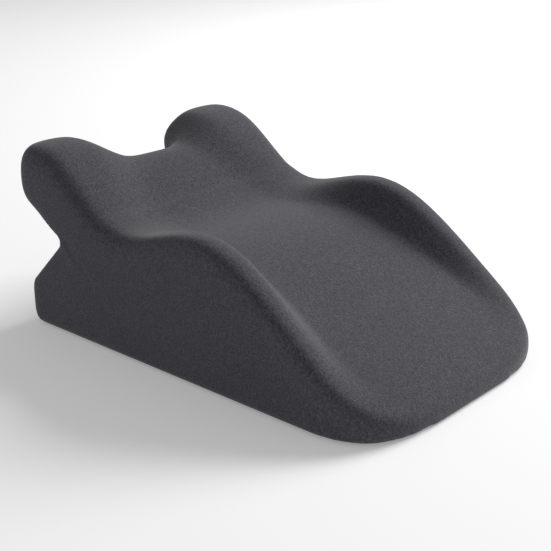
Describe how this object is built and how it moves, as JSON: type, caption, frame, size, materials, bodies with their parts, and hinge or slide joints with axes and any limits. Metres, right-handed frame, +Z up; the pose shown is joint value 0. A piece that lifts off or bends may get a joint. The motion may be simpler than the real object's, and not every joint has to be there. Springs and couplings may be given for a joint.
{
  "type": "neck traction pillow",
  "caption": "Wedge-shaped neck traction pillow: ramped foam block with raised side ridges, head lobes over a rear V notch, and a zipped dark knit cover.",
  "frame": {"origin": "centre of the base, on the surface that the pillow stands on", "axes": "+Z up; +Y from the toe of the ramp towards the head lobes at the rear; +X to the right seen from the toe"},
  "size_m": [0.164, 0.26, 0.1062],
  "materials": {
    "knit_cover": "matte",
    "base_fabric": "matte",
    "memory_foam": "matte",
    "zip_tape": "matte",
    "zip_coil": "satin",
    "zip_metal": "satin",
    "woven_label": "satin"
  },
  "bodies": {
    "base": {"foam_core": "memory_foam", "cover_body": "knit_cover", "base_panel": "base_fabric", "seam_allowance": "base_fabric", "zip_tape_upper": "zip_tape", "zip_tape_lower": "zip_tape", "zip_coil_upper": "zip_coil", "zip_coil_lower": "zip_coil", "zip_top_stops": "zip_metal", "zip_bottom_stop": "zip_metal", "care_label": "woven_label"},
    "head_rest": {"foam_head_rest": "memory_foam", "cover_head_rest": "knit_cover"},
    "slider": {"zip_slider": "zip_metal", "zip_crown": "zip_metal"},
    "pull": {"zip_pull": "zip_metal"}
  },
  "joints": [
    {"name": "head_rest_flex", "type": "hinge", "parent": "base", "child": "head_rest", "pos_m": [0, 0.08988, 0.05579], "axis": [-1, 0, 0], "range_deg": [0, 12], "stiffness_Nm_per_rad": 10},
    {"name": "zip_slide", "type": "slide", "parent": "base", "child": "slider", "axis": [-1, 0, 0], "range_m": [0, 0.114], "deforming": ["zip_coil_upper", "zip_coil_lower"]},
    {"name": "pull_swing", "type": "hinge", "parent": "slider", "child": "pull", "pos_m": [0.057, 0.1229, 0.0152], "axis": [0, 0, -1], "range_deg": [0, 165]}
  ]
}
